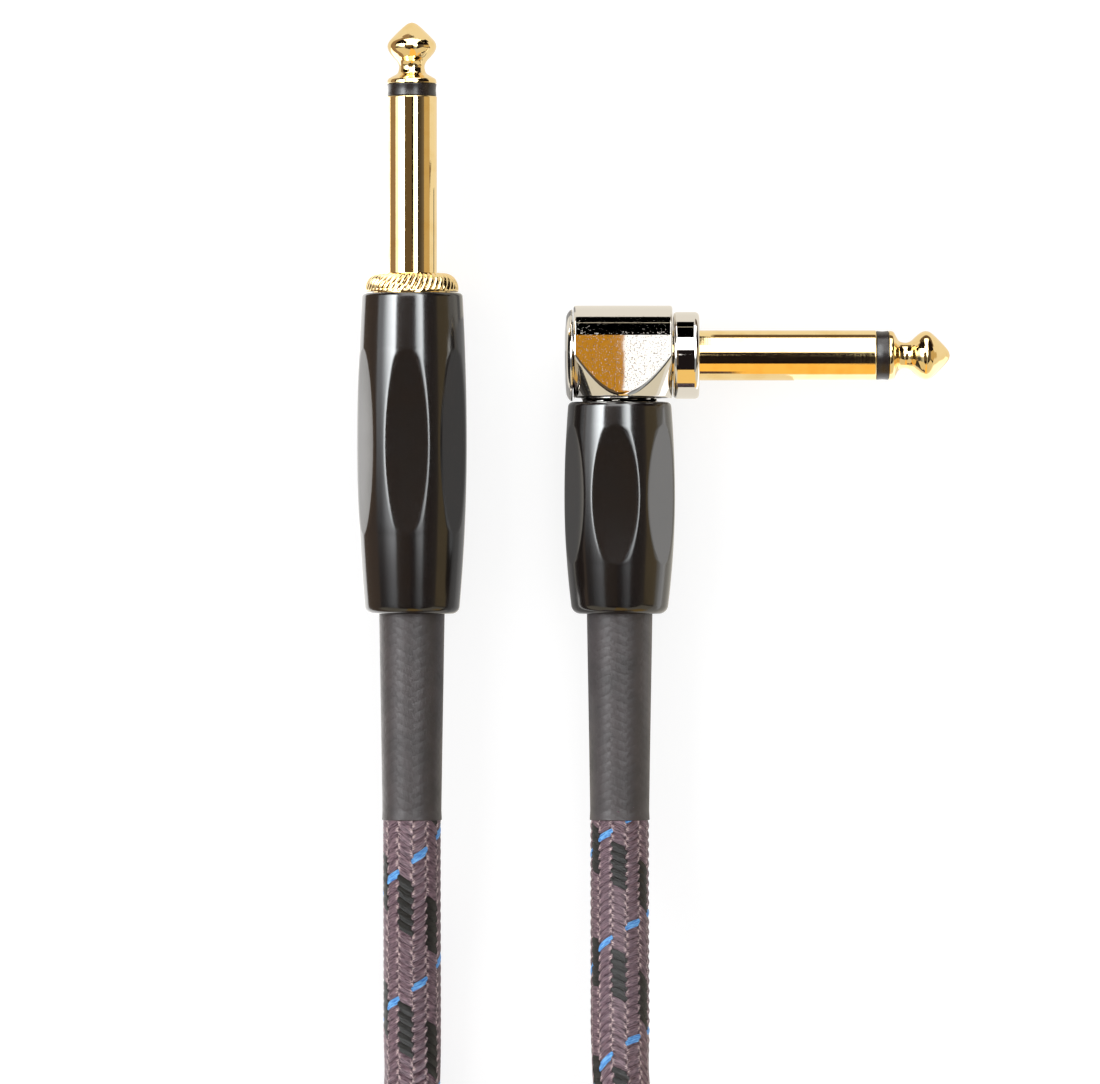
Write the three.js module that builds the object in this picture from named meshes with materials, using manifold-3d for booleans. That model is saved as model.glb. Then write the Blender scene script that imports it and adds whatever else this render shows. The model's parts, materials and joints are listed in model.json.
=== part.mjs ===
// An instrument cable: a straight and a right-angle 6.35 mm phone plug on one braided cord.
// Millimetres, +Z up. The cable lies on z = 0. The straight plug points along +Y, the angle plug's shaft along +X,
// and both cords leave along -Y. The origin is under the middle of the two plugs' box.
import * as THREE from "three";
import { mergeVertices } from "three/addons/utils/BufferGeometryUtils.js";
import Module from "manifold-3d";

const wasm = await Module();
wasm.setup();

// ---- Driving dimensions ----
const gap = 0.3; // between any two pieces
const roundSides = 24;

// The standard two-pole 6.35 mm shaft, from its shoulder to its tip: 31.75 mm in all.
const shaft = {
  radius: 3.175,
  wall: 0.85,
  sleeveLength: 22.4,
  insulatorLength: 1.6,
  insulatorRadius: 3.05,
  tipLength: 7.75,
  rodRadius: 1.2,
  tubeRadius: 2,
};

// The tip: a flared foot, a waist and a round bulb, as radii and distances back from the nose.
const tipProfile = [
  [3, 7.2],
  [2.5, 6.85],
  [1.85, 6.45],
  [1.62, 5.8],
  [1.85, 4.95],
  [2.4, 4.35],
  [2.9, 3.7],
  [3.1, 3.1],
  [2.95, 2.5],
  [1.75, 1.2],
  [0.6, 0.2],
  [0, 0],
];

// The cord, the cut-back layers at its ends and the heat-shrink over them.
const cord = {
  radius: 3.55,
  jacketRadius: 2.8,
  insulationRadius: 1.25,
  conductorRadius: 0.45,
  pigtailRadius: 0.6,
};
const shrink = { length: 26.1, inside: 5.5, rearRadius: 3.78, mouthRadius: 4.15 };

// Each grip is a hollow barrel with six scooped facets. Heights are from its rear end.
const grip = {
  mouthRadius: 4.5,
  floorThickness: 3.2,
  chamberRadius: 5.4,
  threadRadius: 4.8,
  threadLength: 6.8,
  rearRound: 1,
  frontRound: 0.6,
  facets: 6,
  facetTurn: 5, // degrees that the top facet leans to the left
};
const straightGrip = {
  length: 40.6,
  frontRadius: 6.4,
  widestRadius: 6.95,
  widestAt: 21.6,
  rearRadius: 5.95,
  facetDepth: 6.38,
  facetAt: 21.2,
  facetScoop: 215,
};
const angleGrip = {
  length: 26.8,
  frontRadius: 6.5,
  widestRadius: 7,
  widestAt: 14.8,
  rearRadius: 6,
  facetDepth: 6.32,
  facetAt: 14.8,
  facetScoop: 105,
};

const collar = { length: 2.5, baseRadius: 5.9, topRadius: 4.1, rim: 0.5 };
const head = {
  width: 12.5,
  height: 11.7,
  depth: 11.6, // between its two flats
  offset: 0.4, // of its middle from the cord's axis, towards the shaft
  topRadius: 6.3, // about the shaft's axis
  coneFootRadius: 5.62,
  coneRise: 5.3,
  coneStretch: 1.1, // along the shaft
  standOff: 0.5, // above the handle
  chamberRadius: 4.6,
  chamberEnd: 3,
};
const angleCollar = { length: 3.4, radius: 5.5, edgeRound: 0.7 };
const cap = { thickness: 0.8, radius: 5.8, edgeRound: 0.25, spigotRadius: 4.25, spigotLength: 1.6 };

// The contacts behind the shaft. Recesses are from the part that carries them.
const lug = { thickness: 0.6, radius: 4.1, strapWidth: 3, sides: 20 };
const tipLug = { radius: 2.6, strapAt: 1.9, strapWidth: 2.2 };
const clamp = { length: 3.6, wall: 0.6, slot: 1 };
const rearInsulator = { thickness: 1.2, boss: 0.7, sides: 16 };
const rodStub = 0.8;
const sleeveRecess = 1.2;
const tubeRecess = 1.6;
const solderRadius = 0.8;
const liner = { radius: 5.05, wall: 0.4 };

// The two cords are this far apart.
const plugSpacing = 26.3;

// The spare length lies in a round coil of four layers, three turns to a layer.
const coil = {
  middleRadius: 38.75,
  pitch: 7.2,
  layerRise: 6.25,
  layers: 4,
  centre: [16.8, -125], // from the straight cord's axis and the grips' rear ends
  edgeRound: 3,
};
const tie = { width: 16, thickness: 1.4, cornerRound: 3 };

// Centrelines of the two lengths of cord that aren't coiled, as [sideways, along, height].
// They start at the heat-shrink, and end where they join the coil.
const straightLead = [
  [0, -26.4, 6.76],
  [0, -30, 6.7],
  [0, -35, 6.2],
  [0, -41, 5.1],
  [0, -47, 4.1],
  [0, -53, 3.65],
  [0, -59, 3.6],
  [-0.5, -66, 3.6],
  [-2.1, -73.3, 3.6],
  [-4.9, -80.5, 3.6],
  [-8.9, -87.5, 3.6],
  [-14.4, -93.8, 3.6],
];
const angleLead = [
  [0, -26.4, 6.76],
  [0, -30, 6.9],
  [0, -35, 7.7],
  [0, -41, 9.7],
  [0, -47, 12.5],
  [0, -53, 15.8],
  [0.1, -58.5, 19],
  [0.9, -64.2, 22],
  [2.9, -70, 24],
  [6, -75, 25],
  [10, -79.4, 25.2],
  [14.8, -82.9, 25.1],
];
const leadSides = 10;
const leadSteps = 26;

// ---- Materials ----
const finish = (color, roughness, metalness) =>
  new THREE.MeshStandardMaterial({ color, roughness, metalness });
const gold = finish(0xd7a550, 0.22, 1);
const nickel = finish(0xc9c4ba, 0.25, 1);
const blackMetal = finish(0x1c1614, 0.18, 0.6);
const blackPlastic = finish(0x322d32, 0.4, 0);
const clearPlastic = finish(0xd8d6cc, 0.35, 0);
const shrinkPlastic = finish(0x585050, 0.6, 0);
const innerJacket = finish(0x26242a, 0.6, 0);
const innerInsulation = finish(0xe6e2d8, 0.5, 0);
const copper = finish(0xc07a4a, 0.35, 1);
const solder = finish(0xb4b4b8, 0.4, 1);
const braid = finish(0x7d6469, 0.85, 0);
const strapFabric = finish(0x232326, 0.9, 0);

// ---- Solids ----
function solidOf(geometry) {
  const plain = geometry.index ? geometry.toNonIndexed() : geometry.clone();
  plain.deleteAttribute("normal");
  plain.deleteAttribute("uv");
  const merged = mergeVertices(plain, 1e-4);
  return new wasm.Manifold(
    new wasm.Mesh({
      numProp: 3,
      vertProperties: merged.attributes.position.array,
      triVerts: new Uint32Array(merged.index.array),
    }),
  );
}

function geometryOf(solid) {
  const mesh = solid.getMesh();
  const geometry = new THREE.BufferGeometry();
  geometry.setAttribute("position", new THREE.BufferAttribute(mesh.vertProperties, 3));
  geometry.setIndex(new THREE.BufferAttribute(mesh.triVerts, 1));
  geometry.computeVertexNormals();
  return geometry;
}

function cut(geometry, ...tools) {
  return geometryOf(tools.reduce((left, tool) => left.subtract(solidOf(tool)), solidOf(geometry)));
}

function join(geometry, ...others) {
  return geometryOf(others.reduce((sum, other) => sum.add(solidOf(other)), solidOf(geometry)));
}

// Turned about the Y axis from [radius, y] points, with the solid on their left.
function turned(profile, sides = roundSides) {
  return new THREE.LatheGeometry(
    profile.map(([radius, y]) => new THREE.Vector2(radius, y)),
    sides,
  );
}

// A ring or tube about the Y axis between two radii and two heights.
function ring(inner, outer, low, high, sides = roundSides) {
  return turned(
    [
      [inner, low],
      [outer, low],
      [outer, high],
      [inner, high],
      [inner, low],
    ],
    sides,
  );
}

// A solid cylinder about the Y axis.
function rod(radius, low, high, sides = 12) {
  return turned(
    [
      [0, low],
      [radius, low],
      [radius, high],
      [0, high],
    ],
    sides,
  );
}

function block(x, y, z) {
  const size = [x, y, z].map(([low, high]) => high - low);
  const middle = [x, y, z].map(([low, high]) => (low + high) / 2);
  return new THREE.BoxGeometry(...size).translate(...middle);
}

// The points of a quarter circle about a centre, from one angle to the other, in degrees.
function arc([x, y], radius, from, to, steps = 3) {
  return Array.from({ length: steps + 1 }, (_, i) => {
    const angle = THREE.MathUtils.degToRad(from + ((to - from) * i) / steps);
    return [x + radius * Math.cos(angle), y + radius * Math.sin(angle)];
  });
}

// A round wire or cord that follows a curve through the points.
function wire(points, radius, sides, steps) {
  const section = new THREE.Shape(
    Array.from({ length: sides }, (_, i) => {
      const angle = (2 * Math.PI * i) / sides;
      return new THREE.Vector2(radius * Math.cos(angle), radius * Math.sin(angle));
    }),
  );
  const route = new THREE.CatmullRomCurve3(points.map((p) => new THREE.Vector3(...p)));
  return new THREE.ExtrudeGeometry(section, { extrudePath: route, steps });
}

function add(group, name, geometry, material) {
  const mesh = new THREE.Mesh(geometry, material);
  mesh.name = name;
  group.add(mesh);
  return mesh;
}

// ---- The shaft, about the Y axis with its shoulder at y = 0 ----
// Its rod runs back through the sleeve to the tip's lug.
function shaftTip(rearEnd) {
  const s = shaft;
  const start = s.sleeveLength + s.insulatorLength + gap;
  const end = s.sleeveLength + s.insulatorLength + s.tipLength;
  return turned([
    [0, rearEnd],
    [s.rodRadius, rearEnd],
    [s.rodRadius, start],
    [s.radius - 0.05, start],
    ...tipProfile.map(([radius, back]) => [radius, end - back]),
  ]);
}

function shaftInsulator(rearEnd) {
  const s = shaft;
  const low = s.sleeveLength + gap;
  const high = s.sleeveLength + s.insulatorLength;
  const bore = s.rodRadius + gap;
  return turned([
    [bore, rearEnd],
    [s.tubeRadius, rearEnd],
    [s.tubeRadius, low],
    [s.insulatorRadius, low],
    [s.insulatorRadius, high],
    [bore, high],
    [bore, rearEnd],
  ]);
}

function shaftSleeve(rearEnd) {
  return ring(shaft.radius - shaft.wall, shaft.radius, rearEnd, shaft.sleeveLength);
}

// ---- A grip, about the Y axis with its rear end at y = 0 ----
function gripRadius(g, y) {
  const front = y > g.widestAt;
  const reach = front ? g.length - g.widestAt : g.widestAt;
  const narrowing = g.widestRadius - (front ? g.frontRadius : g.rearRadius);
  return g.widestRadius - narrowing * ((y - g.widestAt) / reach) ** 2;
}

function gripShell(g) {
  const outside = [];
  const bands = 8;
  for (let i = 0; i <= bands; i++) {
    const y = grip.rearRound + ((g.length - grip.rearRound - grip.frontRound) * i) / bands;
    outside.push([gripRadius(g, y), y]);
  }
  const threadBore = grip.threadRadius + gap;
  const threadStart = g.length - grip.threadLength - gap;
  const shell = turned([
    [grip.mouthRadius, 0],
    ...arc([g.rearRadius - grip.rearRound, grip.rearRound], grip.rearRound, 270, 360).slice(0, 3),
    ...outside,
    [g.frontRadius - grip.frontRound, g.length],
    [threadBore, g.length],
    [threadBore, threadStart],
    [grip.chamberRadius, threadStart],
    [grip.chamberRadius, grip.floorThickness],
    [grip.mouthRadius, grip.floorThickness],
    [grip.mouthRadius, 0],
  ]);
  return cut(shell, ...facetScoops(g));
}

// Each facet is cut by a wide roller of large radius whose axis crosses the grip's.
function facetScoops(g) {
  const reach = 15;
  const bands = 6;
  const outline = [];
  for (let i = 0; i <= bands; i++) {
    const along = -reach + (2 * reach * i) / bands;
    outline.push(new THREE.Vector2(g.facetDepth + along ** 2 / (2 * g.facetScoop), g.facetAt + along));
  }
  outline.push(new THREE.Vector2(g.widestRadius + 4, g.facetAt + reach));
  outline.push(new THREE.Vector2(g.widestRadius + 4, g.facetAt - reach));
  const width = 10;
  const top = -Math.PI / 2 - THREE.MathUtils.degToRad(grip.facetTurn);
  return Array.from({ length: grip.facets }, (_, i) =>
    new THREE.ExtrudeGeometry(new THREE.Shape(outline), { depth: width, bevelEnabled: false })
      .translate(0, 0, -width / 2)
      .rotateY(top + (2 * Math.PI * i) / grip.facets),
  );
}

function gripLiner(g) {
  const low = grip.floorThickness + gap;
  const high = g.length - grip.threadLength - 2 * gap;
  return ring(liner.radius - liner.wall, liner.radius, low, high);
}

// ---- Cable ends, about the Y axis with the grip's rear end at y = 0 ----
function heatShrink() {
  const bore = cord.jacketRadius + gap;
  return turned([
    [bore, -shrink.length],
    [shrink.rearRadius, -shrink.length],
    [shrink.mouthRadius, 0],
    [shrink.mouthRadius, shrink.inside],
    [bore, shrink.inside],
    [bore, -shrink.length],
  ]);
}

// The ground lug: a washer behind the threaded neck, a strap and a clamp round the jacket.
function groundLug(washerAt, bore, clampAt) {
  const inner = cord.jacketRadius + gap;
  const outer = inner + clamp.wall;
  const washer = ring(bore, lug.radius, washerAt, washerAt + lug.thickness, lug.sides);
  const strap = block(
    [-lug.radius, -lug.radius + lug.thickness],
    [clampAt, washerAt + lug.thickness],
    [-lug.strapWidth / 2, lug.strapWidth / 2],
  );
  const claws = ring(inner, outer, clampAt, clampAt + clamp.length, lug.sides);
  const slot = block(
    [0, outer + 1],
    [clampAt - 1, clampAt + clamp.length + 1],
    [-clamp.slot / 2, clamp.slot / 2],
  );
  return cut(join(washer, strap, claws), slot);
}

function cableCore(group, prefix, ends) {
  const { jacket, insulation, conductor } = ends;
  const sheath = rod(cord.jacketRadius, -shrink.length, jacket, lug.sides);
  add(group, prefix + "_cable_jacket", sheath, innerJacket);
  const insulated = rod(cord.insulationRadius, jacket + gap, insulation);
  add(group, prefix + "_core_insulation", insulated, innerInsulation);
  const bare = rod(cord.conductorRadius, insulation + gap, conductor, 8);
  add(group, prefix + "_centre_conductor", bare, copper);
}

// The shield is twisted into a pigtail that runs to the ground lug's strap.
function shieldPigtail(jacket, length) {
  const start = jacket + gap + cord.pigtailRadius;
  return wire(
    [
      [-2.1, start, 0.3],
      [-2.3, start + length * 0.35, 1.3],
      [-2.5, start + length * 0.7, 1.4],
      [-2.6, start + length, 0.4],
    ],
    cord.pigtailRadius,
    8,
    10,
  );
}

function solderBead(x, y) {
  return new THREE.SphereGeometry(solderRadius, 10, 6).scale(1, 1.25, 1).translate(x, y, 0);
}

// The tip's lug: a washer on the rod, with a strap that runs back to the centre conductor.
function tipWasher(at) {
  return ring(shaft.rodRadius + gap, tipLug.radius, at, at + lug.thickness, rearInsulator.sides);
}

// ---- The straight plug ----
function straightPlug() {
  const plug = new THREE.Group();
  const g = straightGrip;
  const collarAt = g.length + gap;
  const shoulder = g.length + collar.length;
  const neckEnd = g.length - grip.threadLength;
  const washerAt = neckEnd - gap - lug.thickness;
  const insulatorAt = washerAt - gap - rearInsulator.thickness;
  const tipLugAt = insulatorAt - gap - lug.thickness;
  const clampAt = 9;
  const core = { jacket: 15.5, insulation: 20.2, conductor: 22.4 };
  const cupEnd = 20.5;

  const shaftGroup = new THREE.Group();
  shaftGroup.position.y = shoulder;
  const tube = shaftInsulator(insulatorAt - shoulder + tubeRecess);
  add(shaftGroup, "straight_tip", shaftTip(tipLugAt - rodStub - shoulder), gold);
  add(shaftGroup, "straight_tip_insulator", tube, blackPlastic);
  add(shaftGroup, "straight_sleeve", shaftSleeve(neckEnd - shoulder + sleeveRecess), gold);
  plug.add(shaftGroup);

  // The collar carries the thread that the barrel screws onto.
  const bore = shaft.radius + gap;
  const dome = arc([collar.topRadius, collarAt], 1, 0, 90, 4).map(([x, y]) => [
    collar.topRadius + (x - collar.topRadius) * (collar.baseRadius - collar.topRadius),
    collarAt + collar.rim + (y - collarAt) * (shoulder - collarAt - collar.rim),
  ]);
  const collarSolid = turned([
    [bore, neckEnd],
    [grip.threadRadius, neckEnd],
    [grip.threadRadius, collarAt],
    [collar.baseRadius, collarAt],
    ...dome,
    [bore, shoulder],
    [bore, neckEnd],
  ]);
  add(plug, "straight_collar", collarSolid, gold);

  const washerBore = shaft.tubeRadius + gap;
  add(plug, "straight_ground_lug", groundLug(washerAt, washerBore, clampAt), gold);
  const spacer = ring(
    shaft.rodRadius + gap,
    lug.radius - lug.thickness - gap,
    insulatorAt,
    insulatorAt + rearInsulator.boss,
    rearInsulator.sides,
  );
  add(plug, "straight_rear_insulator", spacer, blackPlastic);

  const tipStrap = block(
    [tipLug.strapAt, tipLug.strapAt + lug.thickness],
    [cupEnd, tipLugAt + lug.thickness],
    [-tipLug.strapWidth / 2, tipLug.strapWidth / 2],
  );
  add(plug, "straight_tip_lug", join(tipWasher(tipLugAt), tipStrap), gold);

  add(plug, "straight_liner", gripLiner(g), clearPlastic);
  add(plug, "straight_barrel", gripShell(g), blackMetal);
  add(plug, "straight_heat_shrink", heatShrink(), shrinkPlastic);
  cableCore(plug, "straight", core);
  add(plug, "straight_shield", shieldPigtail(core.jacket, 4.2), copper);
  add(plug, "straight_ground_solder", solderBead(-2.45, core.jacket + 6.6), solder);
  add(plug, "straight_tip_solder", solderBead(0.75, core.conductor + 1.2), solder);
  return plug;
}

// ---- The angle plug ----
function headBlock(top, bottom, shaftAt, neckBoreTop) {
  const h = head;
  const left = h.offset - h.width / 2;
  const right = h.offset + h.width / 2;
  const half = h.depth / 2;
  // Seen along the shaft: square below, and round about the shaft's axis on top.
  const flatEnd = THREE.MathUtils.radToDeg(Math.acos(half / h.topRadius));
  const side = new THREE.Shape(
    [
      [-half, bottom],
      [half, bottom],
      ...arc([0, shaftAt], h.topRadius, flatEnd, 180 - flatEnd, 12),
    ].map(([across, y]) => new THREE.Vector2(across, y)),
  );
  const body = new THREE.ExtrudeGeometry(side, { depth: h.width, bevelEnabled: false })
    .rotateY(Math.PI / 2)
    .translate(left, 0, 0);
  // Below, an oval cone trims the corners as on a nut.
  const corner = Math.hypot(half, h.width / 2 / h.coneStretch);
  const cone = turned(
    [
      [0, bottom - 1],
      [h.coneFootRadius, bottom - 1],
      [h.coneFootRadius, bottom],
      [corner, bottom + h.coneRise],
      [corner + 1, bottom + h.coneRise],
      [corner + 1, top + 1],
      [0, top + 1],
    ],
    32,
  )
    .scale(h.coneStretch, 1, 1)
    .translate(h.offset, 0, 0);
  const solid = solidOf(body).intersect(solidOf(cone));
  const neckBore = rod(grip.threadRadius + gap, bottom - 1, neckBoreTop, roundSides);
  const along = (geometry) => geometry.rotateZ(-Math.PI / 2).translate(0, shaftAt, 0);
  const chamber = along(rod(h.chamberRadius, left - 1, h.chamberEnd, roundSides));
  const shaftBore = along(rod(shaft.radius + gap, 0, right + 1, roundSides));
  return cut(geometryOf(solid), neckBore, chamber, shaftBore);
}

function anglePlug() {
  const plug = new THREE.Group();
  const g = angleGrip;
  const bottom = g.length + head.standOff;
  const top = bottom + head.height;
  const shaftAt = top - head.topRadius;
  const left = head.offset - head.width / 2;
  const right = head.offset + head.width / 2;
  const neckEnd = g.length - grip.threadLength;
  const neckTop = bottom + 1;
  const washerAt = neckEnd - gap - lug.thickness;
  const clampAt = 6.4;
  const core = { jacket: 11, insulation: 13.6, conductor: 15.3 };
  const cupEnd = 14;

  add(plug, "angle_head", headBlock(top, bottom, shaftAt, neckTop + gap), nickel);
  const neckBore = shaft.radius + gap;
  add(plug, "angle_neck", ring(neckBore, grip.threadRadius, neckEnd, neckTop), nickel);

  // The shaft group's own Y axis lies along the plug's X axis, with the shoulder at its origin.
  const shoulder = right + angleCollar.length;
  const shaftGroup = new THREE.Group();
  shaftGroup.position.set(shoulder, shaftAt, 0);
  shaftGroup.rotation.z = -Math.PI / 2;
  const sleeveEnd = head.chamberEnd + gap;
  const tipLugAt = 1.2;
  add(shaftGroup, "angle_tip", shaftTip(tipLugAt - rodStub - shoulder), gold);
  add(shaftGroup, "angle_tip_insulator", shaftInsulator(sleeveEnd - shoulder), blackPlastic);
  add(shaftGroup, "angle_sleeve", shaftSleeve(sleeveEnd - shoulder), gold);
  const bore = shaft.radius + gap;
  const round = angleCollar.edgeRound;
  const collarLow = -angleCollar.length + gap;
  const collarSolid = turned([
    [bore, collarLow],
    ...arc([angleCollar.radius - round, collarLow + round], round, -90, 0),
    ...arc([angleCollar.radius - round, -round], round, 0, 90),
    [bore, 0],
    [bore, collarLow],
  ]);
  add(shaftGroup, "angle_collar", collarSolid, gold);
  const spacerLow = tipLugAt + lug.thickness + gap;
  const spacer = ring(
    shaft.rodRadius + gap,
    shaft.radius + gap,
    spacerLow - shoulder,
    spacerLow + rearInsulator.boss - shoulder,
    rearInsulator.sides,
  );
  add(shaftGroup, "angle_rear_insulator", spacer, blackPlastic);
  plug.add(shaftGroup);

  // The tip lug hangs from the rod's end down through the neck.
  const washer = tipWasher(tipLugAt)
    .rotateZ(-Math.PI / 2)
    .translate(0, shaftAt, 0);
  const tipStrap = block(
    [tipLugAt, tipLugAt + lug.thickness],
    [cupEnd, shaftAt - tipLug.strapAt],
    [-tipLug.strapWidth / 2, tipLug.strapWidth / 2],
  );
  add(plug, "angle_tip_lug", join(washer, tipStrap), gold);
  add(plug, "angle_ground_lug", groundLug(washerAt, 2.9, clampAt), gold);

  // The cap closes the head's chamber behind the shaft.
  const capSolid = turned([
    [0, -cap.spigotLength],
    [cap.spigotRadius, -cap.spigotLength],
    [cap.spigotRadius, gap],
    [cap.radius, gap],
    [cap.radius, gap + cap.thickness - cap.edgeRound],
    [cap.radius - cap.edgeRound, gap + cap.thickness],
    [0, gap + cap.thickness],
  ])
    .rotateZ(Math.PI / 2)
    .translate(left, shaftAt, 0);
  add(plug, "angle_cap", capSolid, nickel);

  add(plug, "angle_liner", gripLiner(g), clearPlastic);
  add(plug, "angle_handle", gripShell(g), blackMetal);
  add(plug, "angle_heat_shrink", heatShrink(), shrinkPlastic);
  cableCore(plug, "angle", core);
  add(plug, "angle_shield", shieldPigtail(core.jacket, 3.2), copper);
  add(plug, "angle_ground_solder", solderBead(-2.45, core.jacket + 5.6), solder);
  add(plug, "angle_tip_solder", solderBead(0.1, core.conductor + 1.1), solder);
  return plug;
}

// ---- The cord ----
// A closed band round the coil's section, on its far side from the plugs.
function tieBand(grow) {
  const c = coil;
  const reach = 1.25 * c.pitch + cord.radius;
  const height = 2 * cord.radius + (c.layers - 1) * c.layerRise;
  const bulge = 1.2; // of the turns' curve within the tie's width
  const outline = (margin) => {
    const low = [-c.middleRadius - reach - margin, tie.thickness - margin];
    const high = [-c.middleRadius + reach + bulge + margin, tie.thickness + height + margin];
    const round = Math.max(tie.cornerRound + margin, 0.5);
    return [
      ...arc([high[0] - round, high[1] - round], round, 0, 90),
      ...arc([low[0] + round, high[1] - round], round, 90, 180),
      ...arc([low[0] + round, low[1] + round], round, 180, 270),
      ...arc([high[0] - round, low[1] + round], round, 270, 360),
    ].map(([y, z]) => new THREE.Vector2(-z, y));
  };
  const width = tie.width + 2 * grow;
  const prism = (margin) =>
    new THREE.ExtrudeGeometry(new THREE.Shape(outline(margin)), { depth: width, bevelEnabled: false })
      .translate(0, 0, -width / 2)
      .rotateY(Math.PI / 2)
      .translate(c.centre[0], c.centre[1], 0);
  return cut(prism(tie.thickness + grow), prism(-grow));
}

function coilRing(leads) {
  const c = coil;
  const inner = c.middleRadius - 1.25 * c.pitch - cord.radius;
  const outer = c.middleRadius + 1.25 * c.pitch + cord.radius;
  const height = 2 * cord.radius + (c.layers - 1) * c.layerRise;
  const round = c.edgeRound;
  const section = [
    [inner, round],
    [inner + round, 0],
    [outer - round, 0],
    [outer, round],
    ...arc([outer - round, height - round], round, 0, 90),
    ...arc([inner + round, height - round], round, 90, 180),
    [inner, round],
  ];
  const body = turned(section, 40)
    .rotateX(Math.PI / 2)
    .translate(c.centre[0], c.centre[1], 0);
  return cut(body, tieBand(gap), ...leads);
}

// ---- The whole cable ----
const cable = new THREE.Group();
const straight = straightPlug();
const angle = anglePlug();
angle.position.x = plugSpacing;

// Each plug lies on its grip.
for (const plug of [straight, angle]) {
  plug.updateMatrixWorld(true);
  plug.position.z = -new THREE.Box3().setFromObject(plug).min.z;
}

const plugs = new THREE.Group();
plugs.add(straight, angle);
plugs.updateMatrixWorld(true);
const middle = new THREE.Box3().setFromObject(plugs).getCenter(new THREE.Vector3());

const shifted = (points, x) => points.map(([px, py, pz]) => [px + x, py, pz]);
const lead = (points, x, grow) => wire(shifted(points, x), cord.radius + grow, leadSides, leadSteps);
add(cable, "cord_lead_straight", lead(straightLead, 0, 0), braid);
add(cable, "cord_lead_angle", lead(angleLead, plugSpacing, 0), braid);
const leadSlots = [lead(straightLead, 0, gap), lead(angleLead, plugSpacing, gap)];
add(cable, "cord_coil", coilRing(leadSlots), braid);
add(cable, "coil_tie", tieBand(0), strapFabric);

cable.add(plugs);
cable.position.set(-middle.x, -middle.y, 0);

export default cable;
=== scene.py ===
"""The looks of an instrument cable: a straight and a right-angle phone plug on one braided cord.

Lengths in the driving dimensions are in millimetres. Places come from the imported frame, in metres.
"""

import json
import math
from types import SimpleNamespace as Sizes

import bmesh
import bpy
import numpy as np
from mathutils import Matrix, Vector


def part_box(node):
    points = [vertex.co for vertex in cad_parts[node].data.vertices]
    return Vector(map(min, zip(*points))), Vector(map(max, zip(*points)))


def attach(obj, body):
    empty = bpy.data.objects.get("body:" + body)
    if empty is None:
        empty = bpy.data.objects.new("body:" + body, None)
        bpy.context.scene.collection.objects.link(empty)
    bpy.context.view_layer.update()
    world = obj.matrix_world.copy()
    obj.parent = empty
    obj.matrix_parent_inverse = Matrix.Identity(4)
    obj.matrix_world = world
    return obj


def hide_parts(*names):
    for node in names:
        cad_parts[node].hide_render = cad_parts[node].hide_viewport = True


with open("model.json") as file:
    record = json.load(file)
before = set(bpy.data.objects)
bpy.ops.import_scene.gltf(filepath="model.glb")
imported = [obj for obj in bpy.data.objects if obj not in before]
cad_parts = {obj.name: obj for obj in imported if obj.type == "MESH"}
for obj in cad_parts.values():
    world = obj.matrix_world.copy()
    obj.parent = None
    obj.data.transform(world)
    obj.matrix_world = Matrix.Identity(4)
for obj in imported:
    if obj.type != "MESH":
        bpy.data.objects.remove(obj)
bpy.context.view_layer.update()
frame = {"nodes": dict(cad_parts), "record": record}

MM = 0.001
TURN = 2 * math.pi

# ---- Driving dimensions, in millimetres ----
CORD_RADIUS = 3.55

# The coil: four layers of three turns, nested, and wound from one crossover sector to the next.
COIL = Sizes(
    middle_radius=38.75, pitch=7.2, layer_rise=6.25, floor_height=3.6, crossover=(40.0, 135.0),
    start=135.0, end=60.0 + 12 * 360.0, step=15.0, centre=(16.8, -125.0),
    # Each layer's last turn climbs over this many degrees, going inwards or outwards.
    climb={-1: 100.0, 1: 60.0},
    # The turns rise a little where they cross: the rise, and the angles that it starts and ends at.
    hump=0.9, hump_start=(20, 60), hump_end=(125, 160),
)
TURNS_PER_LAYER = 3
LAYERS = 4

# The leads, from the heat-shrink to the coil, from each plug's axis and the grips' rear ends
STRAIGHT_LEAD = [
    (0, -24.4, 6.76), (0, -26.4, 6.76), (0, -30, 6.7), (0, -35, 6.2), (0, -41, 5.1),
    (0, -47, 4.1), (0, -53, 3.65), (0, -59, 3.6), (-0.5, -66, 3.6), (-2.1, -73.3, 3.6),
    (-4.9, -80.5, 3.6), (-8.9, -87.5, 3.6),
]
ANGLE_LEAD = [
    (0, -24.4, 6.76), (0, -26.4, 6.76), (0, -30, 6.9), (0, -35, 7.7), (0, -41, 9.7),
    (0, -47, 12.5), (0, -53, 15.8), (0.1, -58.5, 19), (0.9, -64.2, 22), (2.9, -70, 24),
    (6, -75, 25), (10, -79.4, 25.2),
]

# The tie: a strap round the coil's far side. The turns lift a little over it, and lift_over is the
# degrees from its own angle over which they come down again.
TIE = Sizes(
    width=16.0, thickness=1.3, clearance=0.1, angle=270.0, overlap=0.3, lap_rise=6.0,
    end_width=0.5, crown=0.12, lift=1.5, lift_over=(16, 66),
)

# The braid: 24 yarns, each over two and under two
BRAID = Sizes(
    lay_at_straight=16.08, lay_at_angle=14.56,
    # Where the yarns lie at each end, so that the columns seen from above start as they should
    start_turn=9.5, start_count=-0.37, end_turn=35.5, end_count=2.35,
    hidden=1.69,  # of the cord inside each heat-shrink
    lean=0.78,  # of a float, as a share of its yarn's own slope
    relief=0.12, fine_length=36.0, fine_columns=120, fine_step=0.18, coarse_columns=30,
    coarse_step=2.1,
)
YARNS_EACH_WAY = 12
# A float's place in its column, and how a yarn's back is rounded off towards its sides
FLOAT_PLACE = 0.25
YARN_ROUND = 1.6

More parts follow.
